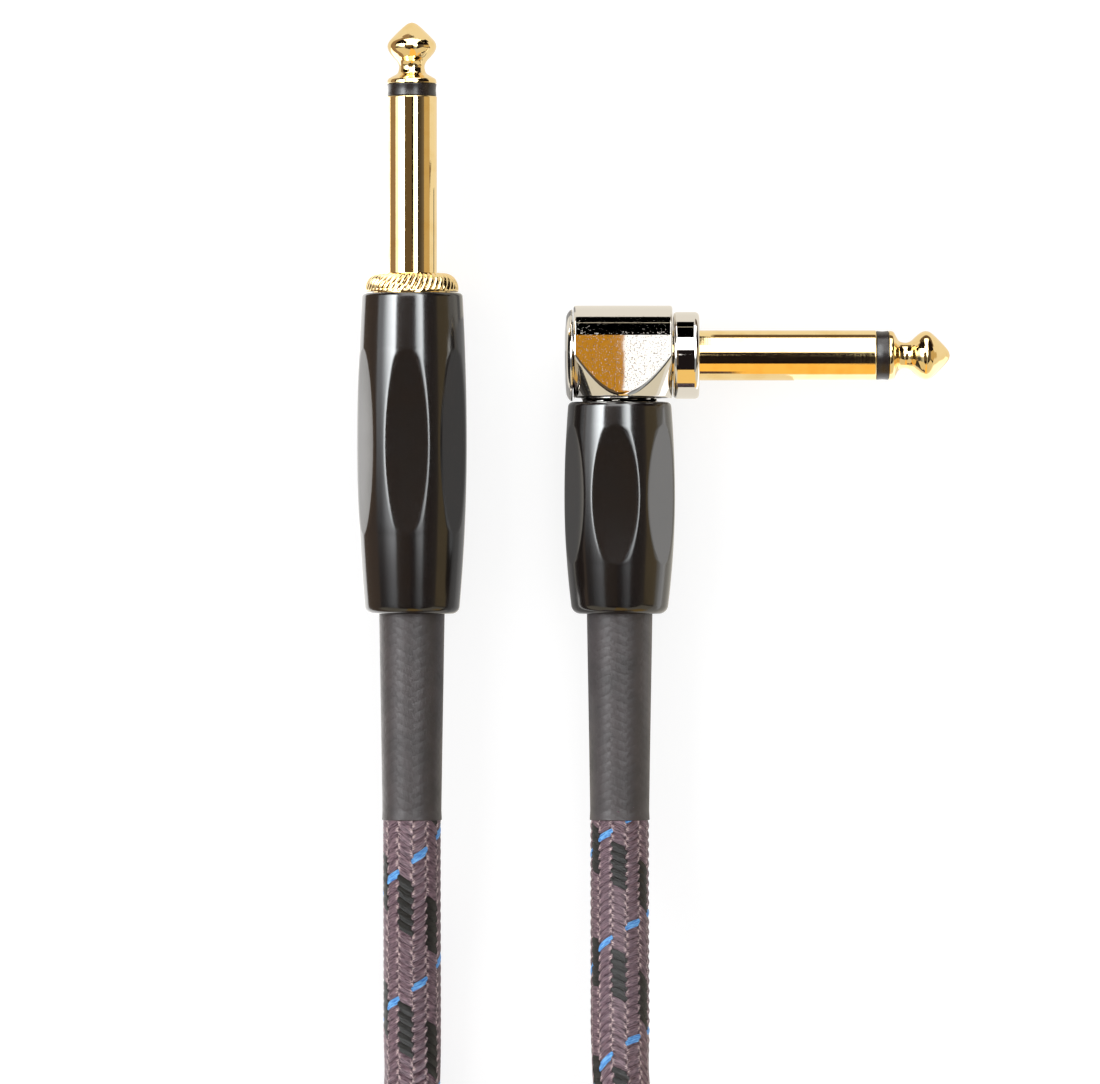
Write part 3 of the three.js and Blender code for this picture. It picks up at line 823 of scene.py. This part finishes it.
def build_tie():
    """A strap that laps over itself on top of the coil, with a rounded free end."""
    inner = tie_outline()
    closed = np.vstack([inner, inner[:1]])
    reached = lengths_along(closed)
    length = reached[-1]
    # It starts on top, runs round the coil once and laps over its own start.
    from_middle = np.abs(closed[:, 0] - COIL.middle_radius)
    top = reached[np.argmax(closed[:, 1] - 0.2 * from_middle)]
    rows = 260
    s = np.linspace(0, length + TIE.overlap * length, rows)
    spine = np.stack([np.interp((s + top) % length, reached, closed[:, k]) for k in (0, 1)], axis=1)
    tangent = unit(np.gradient(spine, axis=0))
    outward = np.stack([tangent[:, 1], -tangent[:, 0]], axis=1)
    lapped = smooth(s, length - TIE.lap_rise, length) * (TIE.thickness + TIE.clearance)
    half = TIE.width / 2
    from_end = np.minimum(1.0, (s[-1] - s) / half)
    widths = np.maximum(half * np.sqrt(np.maximum(1 - (1 - from_end) ** 2, 0.0)), TIE.end_width)
    share = np.linspace(-1, 1, 17)
    sheets = []
    for side, crown, places in ((0.0, 0.0, share), (TIE.thickness, TIE.crown, share[::-1])):
        out = side + lapped[:, None] - crown * places**4
        flat = spine[:, None, :] + outward[:, None, :] * out[..., None]
        radius = flat[..., 0]
        angle = math.radians(TIE.angle) + widths[:, None] * places / radius
        x = COIL.centre[0] + radius * np.cos(angle)
        y = COIL.centre[1] + radius * np.sin(angle)
        sheets.append(np.stack([x, y, flat[..., 1]], axis=2))
    vertices = np.concatenate(sheets, axis=1) * MM + np.array((straight_x, grips_rear, 0))
    count = 2 * len(share)
    faces = grid_faces(rows, count).tolist()
    faces.append(list(range(count)))
    faces.append(list(range((rows - 1) * count, rows * count))[::-1])
    corners = np.concatenate(faces)
    around = np.r_[share, share[::-1]] * half
    uv = ("strap", np.stack([s[corners // count], around[corners % count]], axis=1))
    return piece("coil_strap", vertices, faces, strap_look(), "cable", "tie_strap", "coil_tie", uv=uv)


# ---- The grips ----
def grip_radius(g, y):
    reach = np.where(y > g.widest_at, g.length - g.widest_at, g.widest_at)
    end = np.where(y > g.widest_at, g.front_radius, g.rear_radius)
    return g.widest_radius - (g.widest_radius - end) * ((y - g.widest_at) / reach) ** 2


def grip_sector(crease):
    """Angles of the columns of one facet and the stretch after it, from the facet's own middle."""
    edge = math.radians(1.0)
    soft = np.minimum(edge, 0.3 * crease)
    facet = np.linspace(-1, 1, FACET_COLUMNS)[None, :] * (crease - soft)[:, None]
    after = crease + edge
    far = TURN / FACETS - after
    rest = after[:, None] + (far - after)[:, None] * np.linspace(0, 1, 8)[None, :]
    return np.concatenate([facet, crease[:, None], rest, (TURN / FACETS - crease)[:, None]], axis=1)


def build_grip(name, node, g, axis, material):
    """A barrel that bulges, with six scooped facets round it and a bore for the neck and the cord."""
    rear, front = g.rear_round, g.front_round
    front_at = g.length - front
    rear_radius = grip_radius(g, rear)
    front_radius = grip_radius(g, front_at)
    arc = np.linspace(0, math.pi / 2, 7)
    start = [(rear_radius - rear * (1 - math.cos(a)), rear * (1 - math.sin(a))) for a in arc[:0:-1]]
    bulge = [(grip_radius(g, y), y) for y in np.linspace(rear, front_at, 150)]
    end = [(front_radius - front * (1 - math.cos(a)), front_at + front * math.sin(a)) for a in arc[1:]]
    outside = start + bulge + end
    bore = GRIP_BORE
    thread_at = g.length - bore.thread_length
    inside = rounded(
        (*outside[-1], 0), (bore.thread, g.length, 0.25), (bore.thread, thread_at, 0.05),
        (bore.chamber, thread_at, 0.05), (bore.chamber, bore.floor, 0.3),
        (bore.mouth, bore.floor, 0.1), (bore.mouth, 0, 0.3), (outside[0][0], 0, 0), steps=3,
    )[1:-1]
    outline = np.array([*outside, *inside], float)
    barrel, height = outline.T
    is_outside = np.arange(len(outline)) < len(outside)
    depth = g.facet_depth + (height - g.facet_at) ** 2 / (2 * g.facet_scoop)
    least = math.radians(0.5)
    ratio = np.clip(depth / barrel, 0, 1)
    crease = np.where(is_outside, np.sqrt(np.arccos(ratio) ** 2 + least**2), least)
    sector = grip_sector(crease)
    columns = sector.shape[1]
    turn = -math.radians(FACET_TURN)
    angles = np.concatenate([sector + turn + TURN * k / FACETS for k in range(FACETS)], axis=1)
    local = (sector + TURN / FACETS / 2) % (TURN / FACETS) - TURN / FACETS / 2
    flat = depth[:, None] / np.cos(local)
    radius = np.where(is_outside[:, None], np.minimum(barrel[:, None], flat), barrel[:, None])
    # The creases are broken a little.
    dip = CREASE_DIP * smooth(barrel - depth, 0.0, 0.15) * is_outside
    radius[:, [FACET_COLUMNS, columns - 1]] -= dip[:, None]
    vertices = axis.at(np.tile(radius, (1, FACETS)), angles, height[:, None])
    faces = grid_faces(len(outline), columns * FACETS, wrap_rows=True)
    clean(piece(name, vertices, faces, material, node, "black_barrel", node, sharp=50))


# ---- The shafts ----
def tip_outline(rear_end):
    """The tip with its rod: a flared foot, a waist, a round bulb and a blunt nose."""
    start = SHAFT.sleeve + SHAFT.insulator
    nose = start + SHAFT.tip
    rod, step, foot = SHAFT.rod_radius, SHAFT.insulator_radius, TIP_PROFILE[0][0]
    rear = [(0, rear_end), (rod, rear_end), (rod, start), (step, start), (foot, start + 0.07)]
    curve = curve_through([(radius, nose - back, 0) for radius, back in TIP_PROFILE], 6)
    return np.vstack([rear, curve[:, :2]])


def build_shaft(prefix, axis, gold, plastic, rears):
    """The shaft's three pieces. Heights are from its shoulder."""
    radius, bore, front = SHAFT.radius, SHAFT.sleeve_bore, SHAFT.sleeve
    rear = rears.sleeve
    sleeve = rounded(
        (3.0, rear, 0), (radius, rear, 0.05), (radius, front, 0.15), (bore, front, 0.05),
        (bore, rear, 0.05), (3.0, rear, 0),
    )
    tube, hole, ring = SHAFT.tube_radius, SHAFT.tube_bore, SHAFT.insulator_radius
    low = SHAFT.sleeve + SHAFT.gap
    high = SHAFT.sleeve + SHAFT.insulator - SHAFT.gap
    insulator = rounded(
        (1.6, rears.tube, 0), (tube, rears.tube, 0.05), (tube, low, 0.02),
        (ring + 0.06, low, 0.1), (ring - 0.03, (low + high) / 2, 3.0), (ring + 0.08, high, 0.1),
        (hole, high, 0.05), (hole, rears.tube, 0.05), (1.6, rears.tube, 0),
    )
    for name, node, outline, material, slot in (
        ("_tip_piece", "_tip", tip_outline(rears.rod), gold, "gold_plating"),
        ("_sleeve_piece", "_sleeve", sleeve, gold, "gold_plating"),
        ("_insulator_piece", "_tip_insulator", insulator, plastic, "shaft_insulator"),
    ):
        turned(prefix + name, outline, axis, material, "cable", slot, prefix + node)


# ---- Collars, neck, cap and head ----
def thread(low, high):
    """A shape function that cuts the screw thread between two heights."""
    root, crest = THREAD.root, THREAD.crest

    def shape(radius, angle, height):
        phase = (height / THREAD.pitch - angle / TURN) % 1.0
        ridge = root + (crest - root) * (1 - np.abs(2 * phase - 1))
        inside = (height > low) & (height < high) & (np.abs(radius - crest) < 0.02)
        return np.where(inside, ridge, radius)

    return shape


def filled(outline, step=0.08):
    """Adds points along an outline's straight stretches, at most a step apart."""
    out = [outline[0]]
    for p, q in zip(outline[:-1], outline[1:]):
        count = max(1, math.ceil(np.linalg.norm(q - p) / step))
        out += [p + (q - p) * k / count for k in range(1, count + 1)]
    return np.array(out)


def build_straight_collar(gold):
    """The knurled dome between barrel and shaft, and the thread that the barrel screws onto."""
    rear = straight_shaft.span("straight_collar")[0]
    base = straight_shaft.span("straight_barrel")[1] + COLLAR.overlap
    bore, crest, top = COLLAR.bore, THREAD.crest, COLLAR.top_radius
    lip = base + COLLAR.lip
    dome = []
    for a in np.linspace(0, math.pi / 2, 16):
        dome.append((top + (COLLAR.radius - top) * math.cos(a), lip - lip * math.sin(a)))
    foot = [(bore, rear), (crest, rear), (crest, base), (COLLAR.radius - 0.1, base)]
    outside = np.array([*foot, (COLLAR.radius, base + 0.1), *dome, (bore, 0)])
    # The bore needs no rows of its own.
    outline = np.vstack([filled(outside), outside[:1]])
    cut = thread(rear + THREAD.clear, base - THREAD.clear)

    def knurled(radius, angle, height):
        radius = cut(radius, angle, height)
        share = np.clip((radius - top - 0.05) / (COLLAR.radius - top - 0.05), 0, 1)
        above = height - base - COLLAR.tooth_from
        slant = (height - base) * COLLAR.tooth_slant
        tooth = np.abs(np.sin((angle - slant) * COLLAR.teeth / 2))
        depth = COLLAR.tooth_depth * smooth(share, 0.0, 0.25) * smooth(above, 0.0, 0.25)
        return np.where((above > 0) & (share > 0), radius - depth * (1 - tooth) ** 1.2, radius)

    what = (gold, "cable", "gold_plating", "straight_collar")
    turned("straight_collar_piece", outline, straight_shaft, *what, columns=432, shape=knurled)


def build_angle_collar(nickel):
    length = np.ptp(angle_shaft.span("angle_collar")) + ANGLE_COLLAR.sunk
    bore, radius = ANGLE_COLLAR.bore, ANGLE_COLLAR.radius
    outline = rounded(
        (3.4, -length, 0), (radius, -length, 0.5), (radius, 0, 0.55), (bore, 0, 0.1),
        (bore, -length, 0.1), (3.4, -length, 0),
    )
    what = (nickel, "cable", "collar_nickel", "angle_collar")
    turned("angle_collar_piece", outline, angle_shaft, *what)


def build_angle_neck(nickel):
    rear, front = angle_grip.span("angle_neck")
    bore, crest = 3.5, THREAD.crest
    outline = filled(np.array([(bore, rear), (crest, rear), (crest, front), (bore, front), (bore, rear)]))
    cut = thread(rear + THREAD.clear, front)
    what = (nickel, "cable", "polished_nickel", "angle_neck")
    turned("angle_neck_piece", outline, angle_grip, *what, columns=96, shape=cut)


def build_cap(nickel):
    face, end = angle_shaft.span("angle_cap")
    seat = angle_shaft.span("angle_head")[0]
    back = seat - CAP.clear
    outline = rounded(
        (0, face, 0), (3.0, face + 0.03, 6.0), (5.2, face + 0.2, 1.5),
        (CAP.radius, seat - 0.35, 0.35), (CAP.radius, back, 0.1), (CAP.spigot_radius, back, 0.05),
        (CAP.spigot_radius, end, 0.2), (0, end, 0),
    )
    what = (nickel, "angle_cap", "polished_nickel", "angle_cap")
    turned("angle_cap_piece", outline, angle_shaft, *what)


def prism(outline, low, high):
    """A closed solid: an outline of (y, z) points drawn along X."""
    count = len(outline)
    vertices = [(x, y, z) for x in (low, high) for y, z in outline]
    ends = [list(range(count))[::-1], list(range(count, 2 * count))]
    return plain_object(vertices, ends + grid_faces(2, count).tolist())


def build_head(nickel):
    """The head: round about the shaft on top, two flats, and a cone that trims its foot like a nut's."""
    flat, top = HEAD.half_depth * MM, HEAD.top_radius * MM
    first = math.acos(flat / top)
    side = [(head_low.y, angle_z + flat), (head_low.y, angle_z - flat)]
    for a in np.linspace(math.pi - first, first, 48):
        side.append((shaft_y + top * math.sin(a), angle_z + top * math.cos(a)))
    body = prism(side, head_low.x, head_high.x)

    # The cone opens upwards, and is stretched along the shaft.
    stretch, foot = HEAD.cone_stretch, HEAD.cone_foot
    corner = math.hypot(HEAD.half_depth, (head_high.x - head_low.x) / MM / 2 / stretch)
    slope = (corner - foot) / HEAD.cone_rise
    height = (head_high.y - head_low.y) / MM + 1
    centre = Axis(((head_low.x + head_high.x) / 2, head_low.y, angle_z), (0, 1, 0))
    wide = foot + (height + 1) * slope
    cone = drum([(0, -1), (foot - slope, -1), (wide, height + 1), (0, height + 1)], centre)
    for vertex in cone.data.vertices:
        vertex.co.x = centre.origin[0] + stretch * (vertex.co.x - centre.origin[0])

    bore, socket, depth = HEAD.chamber_radius, HEAD.socket_radius, HEAD.socket_depth
    end = (angle_x - angle_shaft.origin[0]) / MM + HEAD.chamber_past_neck
    chamber = drum([(0, -40), (bore, -40), (bore, end), (0, HEAD.drill_point)], angle_shaft)
    neck_axis = Axis((angle_x, head_low.y, angle_z), (0, 1, 0))
    neck = drum([(0, -2), (socket, -2), (socket, depth), (0, depth)], neck_axis)
    for tool, operation in ((cone, "INTERSECT"), (chamber, "DIFFERENCE"), (neck, "DIFFERENCE")):
        cut = body.modifiers.new("cut", "BOOLEAN")
        cut.object = tool
        cut.operation = operation
        cut.solver = "EXACT"
    bevel = body.modifiers.new("edges", "BEVEL")
    bevel.width = HEAD.edge_round * MM
    bevel.segments = 6
    bevel.limit_method = "ANGLE"
    bevel.angle_limit = math.radians(HEAD.bevel_from)
    bevel.use_clamp_overlap = False
    scene_graph = bpy.context.evaluated_depsgraph_get()
    mesh = bpy.data.meshes.new_from_object(body.evaluated_get(scene_graph), depsgraph=scene_graph)
    for tool in (body, cone, chamber, neck):
        bpy.data.objects.remove(tool)
    made = linked("angle_head_piece", mesh)
    made.modifiers.new("normals", "WEIGHTED_NORMAL").keep_sharp = True
    finish_piece(made, HEAD.sharp_from, nickel, "cable", "polished_nickel", "angle_head")


# ---- Heat-shrink ----
def build_shrink(prefix, axis, material, sense, lay, first_turn, first_count):
    """The tube over the cord's end, with its cut edge and the braid's pattern carried on.

    Sense is 1 where the cord's own counts run away from the plug, and -1 where they run towards it.
    """
    node = prefix + "_heat_shrink"
    rear, front = axis.span(node)
    outline = rounded(
        (SHRINK.bore, rear, 0), (SHRINK.edge, rear, 0.08), (SHRINK.waist, rear + 1.2, 2.0),
        (SHRINK.slope, rear + 9, 20), (SHRINK.front, 0, 20), (SHRINK.front, front, 0.1),
        (SHRINK.bore, front, 0.05), (SHRINK.bore, rear, 0),
    )

    def counts(angle, height):
        turns = sense * (angle - math.radians(first_turn)) / TURN
        lays = sense * (rear - height) / lay + first_count / YARNS_EACH_WAY
        return braid_counts(turns, lays)

    what = (material, "cable", "heat_shrink", node)
    turned(prefix + "_shrink_tube", filled(outline, 0.6), axis, *what, columns=96, counts=counts)


# ---- Everything ----
def build_all():
    gold_y = gold_look("gold_straight", "Y")
    gold_x = gold_look("gold_angle", "X")
    nickel = nickel_look("polished_nickel", False)
    black = black_look()
    insulator = plastic_look("shaft_insulator", srgb(34, 26, 25), 0.28)
    shrink = shrink_look()

    build_cord(braid_look())
    build_shaft("straight", straight_shaft, gold_y, insulator, STRAIGHT_REARS)
    build_shaft("angle", angle_shaft, gold_x, insulator, ANGLE_REARS)
    build_straight_collar(gold_y)
    build_angle_collar(nickel)
    build_angle_neck(nickel)
    build_head(nickel_look("cast_nickel", True))
    build_cap(nickel)
    build_grip("straight_grip", "straight_barrel", STRAIGHT_GRIP, straight_grip, black)
    build_grip("angle_grip", "angle_handle", ANGLE_GRIP, angle_grip, black)
    b = BRAID
    build_shrink("straight", straight_grip, shrink, 1, b.lay_at_straight, b.start_turn, b.start_count)
    build_shrink("angle", angle_grip, shrink, -1, b.lay_at_angle, b.end_turn, b.end_count)

    # The contacts and the cable's inside keep their CAD shapes.
    inner = {"shaft_insulator": insulator, "gold_plating": gold_y}
    for make, slot, colour, roughness in (
        (metal_look, "terminal_brass", srgb(222, 178, 100), 0.3),
        (metal_look, "bare_copper", srgb(205, 130, 88), 0.35),
        (metal_look, "solder", srgb(186, 186, 190), 0.35),
        (plastic_look, "inner_jacket", srgb(38, 36, 42), 0.55),
        (plastic_look, "core_insulation", srgb(230, 226, 216), 0.45),
        (plastic_look, "clear_liner", srgb(216, 214, 204), 0.35),
    ):
        inner[slot] = make(slot, colour, roughness)
    for part in frame["record"]["subparts"]:
        if part["material_slot"] in inner:
            node = frame["nodes"][part["node"]]
            node.data.materials.clear()
            node.data.materials.append(inner[part["material_slot"]])


# ---- The stage ----
def only_seen_by(made, seer):
    for ray in ("camera", "diffuse", "glossy", "transmission", "volume_scatter", "shadow"):
        setattr(made, "visible_" + ray, ray == seer)


def glow(name, colour, strength, fades=()):
    """A material that only shines. A fade (axis, from, to, least) dims it from one place to another."""
    look = Look(name, colour, 1.0)
    for axis, start, end, least in fades:
        strength = look.along(axis).ramp(start, end, 1.0, least) * strength
    shine = look.node("ShaderNodeEmission", {"Color": (*colour, 1.0), "Strength": strength})
    look.feed(look.tree.nodes["Material Output"].inputs["Surface"], shine.outputs[0])
    return look.material


def card(name, corners, colour, strength, *fades):
    """A glowing card that only shows in reflections. Corners are in metres."""
    made = plain_object(corners, [list(range(len(corners)))], name)
    made.data.materials.append(glow(name, colour, strength, fades))
    only_seen_by(made, "glossy")


def level_card(name, x, y, height, *look):
    card(name, [(x[i], y[j], height) for i, j in ((0, 0), (1, 0), (1, 1), (0, 1))], *look)


def upright_card(name, start, end, z, *look):
    """A vertical card from one (x, y) to another."""
    card(name, [(*start, z[0]), (*end, z[0]), (*end, z[1]), (*start, z[1])], *look)


def build_room():
    world = bpy.data.worlds.new("studio")
    world.use_nodes = True
    background = world.node_tree.nodes["Background"]
    background.inputs["Color"].default_value = (1.0, 1.0, 1.0, 1.0)
    background.inputs["Strength"].default_value = 0.55
    world.cycles_visibility.glossy = False
    bpy.context.scene.world = world

    # The floor is a light table: it glows, and takes a faint shadow.
    corners = [(x * FLOOR_REACH, y * FLOOR_REACH, 0) for x, y in ((-1, -1), (1, -1), (1, 1), (-1, 1))]
    floor = plain_object(corners, [[0, 1, 2, 3]], "floor")
    shine = {"Emission_Color": (1.0, 1.0, 1.0, 1.0), "Emission_Strength": 0.78}
    table = Look("light_table", (0.32, 0.32, 0.32), 0.9, Specular_IOR_Level=0.0, **shine)
    floor.data.materials.append(table.material)
    floor.visible_glossy = False

    # The white room that the camera sees, and the dark one that shows in reflections
    for name, radius, colour, seer in (
        ("white_room", 9.0, (1.0, 1.0, 1.0), "camera"),
        ("dark_room", 8.0, (0.014, 0.010, 0.010), "glossy"),
    ):
        bpy.ops.mesh.primitive_uv_sphere_add(segments=32, ring_count=16, radius=radius)
        room = bpy.context.object
        room.name = name
        room.data.materials.append(glow(name, colour, 1.0))
        only_seen_by(room, seer)


def build_cards():
    """The studio as reflections see it. Places are in metres."""
    white = (1.0, 0.99, 0.97)
    cool = (0.94, 0.98, 1.0)
    amber = (1.0, 0.62, 0.17)
    cream = (1.0, 0.90, 0.68)
    brown = (1.0, 0.72, 0.50)
    tan = (1.0, 0.85, 0.7)
    top = SOFTBOX_HEIGHT
    table = -0.0003  # just under the floor, which reflections don't see
    fade_y = ("Y", 0.12, -0.13, 0.04)

    for row in (
        # The table
        ("table", (-4, 4), (-4, 4), table - 0.0002, (1.0, 0.95, 0.84), 0.92),
        ("table_left_near", (-0.049, -0.031), (-2, 0.043), table, white, 2.5),
        ("table_left_far", (-2, -0.049), (-2, 2), table, brown, 0.34),
        ("table_middle", (-0.0225, 0.002), (-0.04, 0.0135), table, white, 0.6),
        ("table_corner", (-0.0165, -0.0112), (0.0135, 0.03), table, white, 0.35),
        ("table_right", (0.018, 0.075), (-0.04, 0.004), table, white, 1.7),
        # Softboxes overhead, and what shows between them
        ("right_box", (0.062, 0.25), (-0.9, 0.9), top, cool, 13.0, fade_y, ("X", 0.22, 0.0, 0.2)),
        ("back_box", (-0.35, 0.35), (0.15, 0.73), top + 0.002, white, 3.2),
        ("middle_brown", (-0.44, -0.03), (-0.3, 0.14), top + 0.001, (1.0, 0.72, 0.45), 0.13),
        ("right_brown", (0.25, 0.95), (-0.3, 0.3), top + 0.001, tan, 0.2, ("X", 0.95, 0.3, 0.3)),
        # Small cards over the angle plug's head
        ("amber_spot", (-0.03, 0.0007), (0.004, 0.034), top - 0.01, (1.0, 0.43, 0.03), 0.62),
        ("white_spot", (0.0007, 0.0115), (0.004, 0.034), top - 0.01, white, 1.5),
    ):
        level_card(*row)
    for row in (
        # Low cards close to the plugs
        ("low_middle", (-0.0125, -0.035), (-0.0125, 0.009), (0.0, 0.0085), white, 0.4),
        ("low_back", (0.0078, 0.034), (0.09, 0.034), (0.0, 0.0095), brown, 0.15),
        ("low_amber", (0.012, -0.072), (0.04, -0.072), (0.0005, 0.032), amber, 1.1),
        ("black_back", (-0.013, 0.072), (0.0076, 0.072), (-0.0002, 0.068), (0.0, 0.0, 0.0), 0.0),
        ("back_line", (-0.0125, 0.0718), (0.006, 0.0718), (0.0205, 0.0218), cream, 0.9),
        # The studio's sides
        ("back_box_front", (-0.35, 0.73), (0.35, 0.73), (0.035, 0.6), white, 3.2),
        ("left_brown", (-0.96, -0.3), (-0.96, 0.3), (0.0, 0.17), brown, 0.34),
        ("right_pale", (1.1, -0.3), (1.1, 0.3), (0.0, 0.7), (1.0, 0.76, 0.40), 0.6),
        ("amber_card", (-0.12, -0.6), (0.14, -0.6), (0.0, 0.74), amber, 1.1),
        ("cream_left", (-0.12, -0.6), (-0.8, -0.3), (0.0, 0.6), cream, 0.8),
        ("cream_right", (0.14, -0.6), (0.8, -0.3), (0.0, 0.6), cream, 0.8),
    ):
        upright_card(*row)
    # The left softbox leans over the plugs.
    left = [(-0.44, -0.9, 0.62), (-0.44, 0.42, 0.62), (-0.95, 0.42, 0.17), (-0.95, -0.9, 0.17)]
    card("left_box", left, cool, 18.0, fade_y, ("X", -0.45, -0.8, 0.1))


def build_lamps():
    """What lights the cord and the floor."""
    for name, spot, turn, size, power in (
        ("left_light", (-0.62, 0.0, 0.45), (0, -54, 0), (0.6, 1.4), 4.6),
        ("right_light", (0.22, 0.0, 0.6), (0, 20, 0), (0.34, 1.2), 1.2),
    ):
        data = bpy.data.lights.new(name, "AREA")
        data.shape = "RECTANGLE"
        data.size, data.size_y = size
        data.energy = power
        lamp = linked(name, data)
        lamp.location = spot
        lamp.rotation_euler = [math.radians(a) for a in turn]
        lamp.visible_glossy = False


def build_camera():
    """A camera that looks straight down, and sees CAMERA.width at the shafts' height."""
    data = bpy.data.cameras.new("camera")
    camera = linked("camera", data)
    height = CAMERA.height * MM
    camera.location = (straight_x + CAMERA.right * MM, grips_rear + CAMERA.ahead * MM, height)
    data.sensor_width = 36.0
    data.lens = data.sensor_width * (height - straight_z) / (CAMERA.width * MM)
    data.clip_start = 0.05
    data.clip_end = 30.0
    scene = bpy.context.scene
    scene.camera = camera
    scene.view_settings.view_transform = "Standard"
    scene.view_settings.look = "None"


build_all()
build_room()
build_cards()
build_lamps()
build_camera()
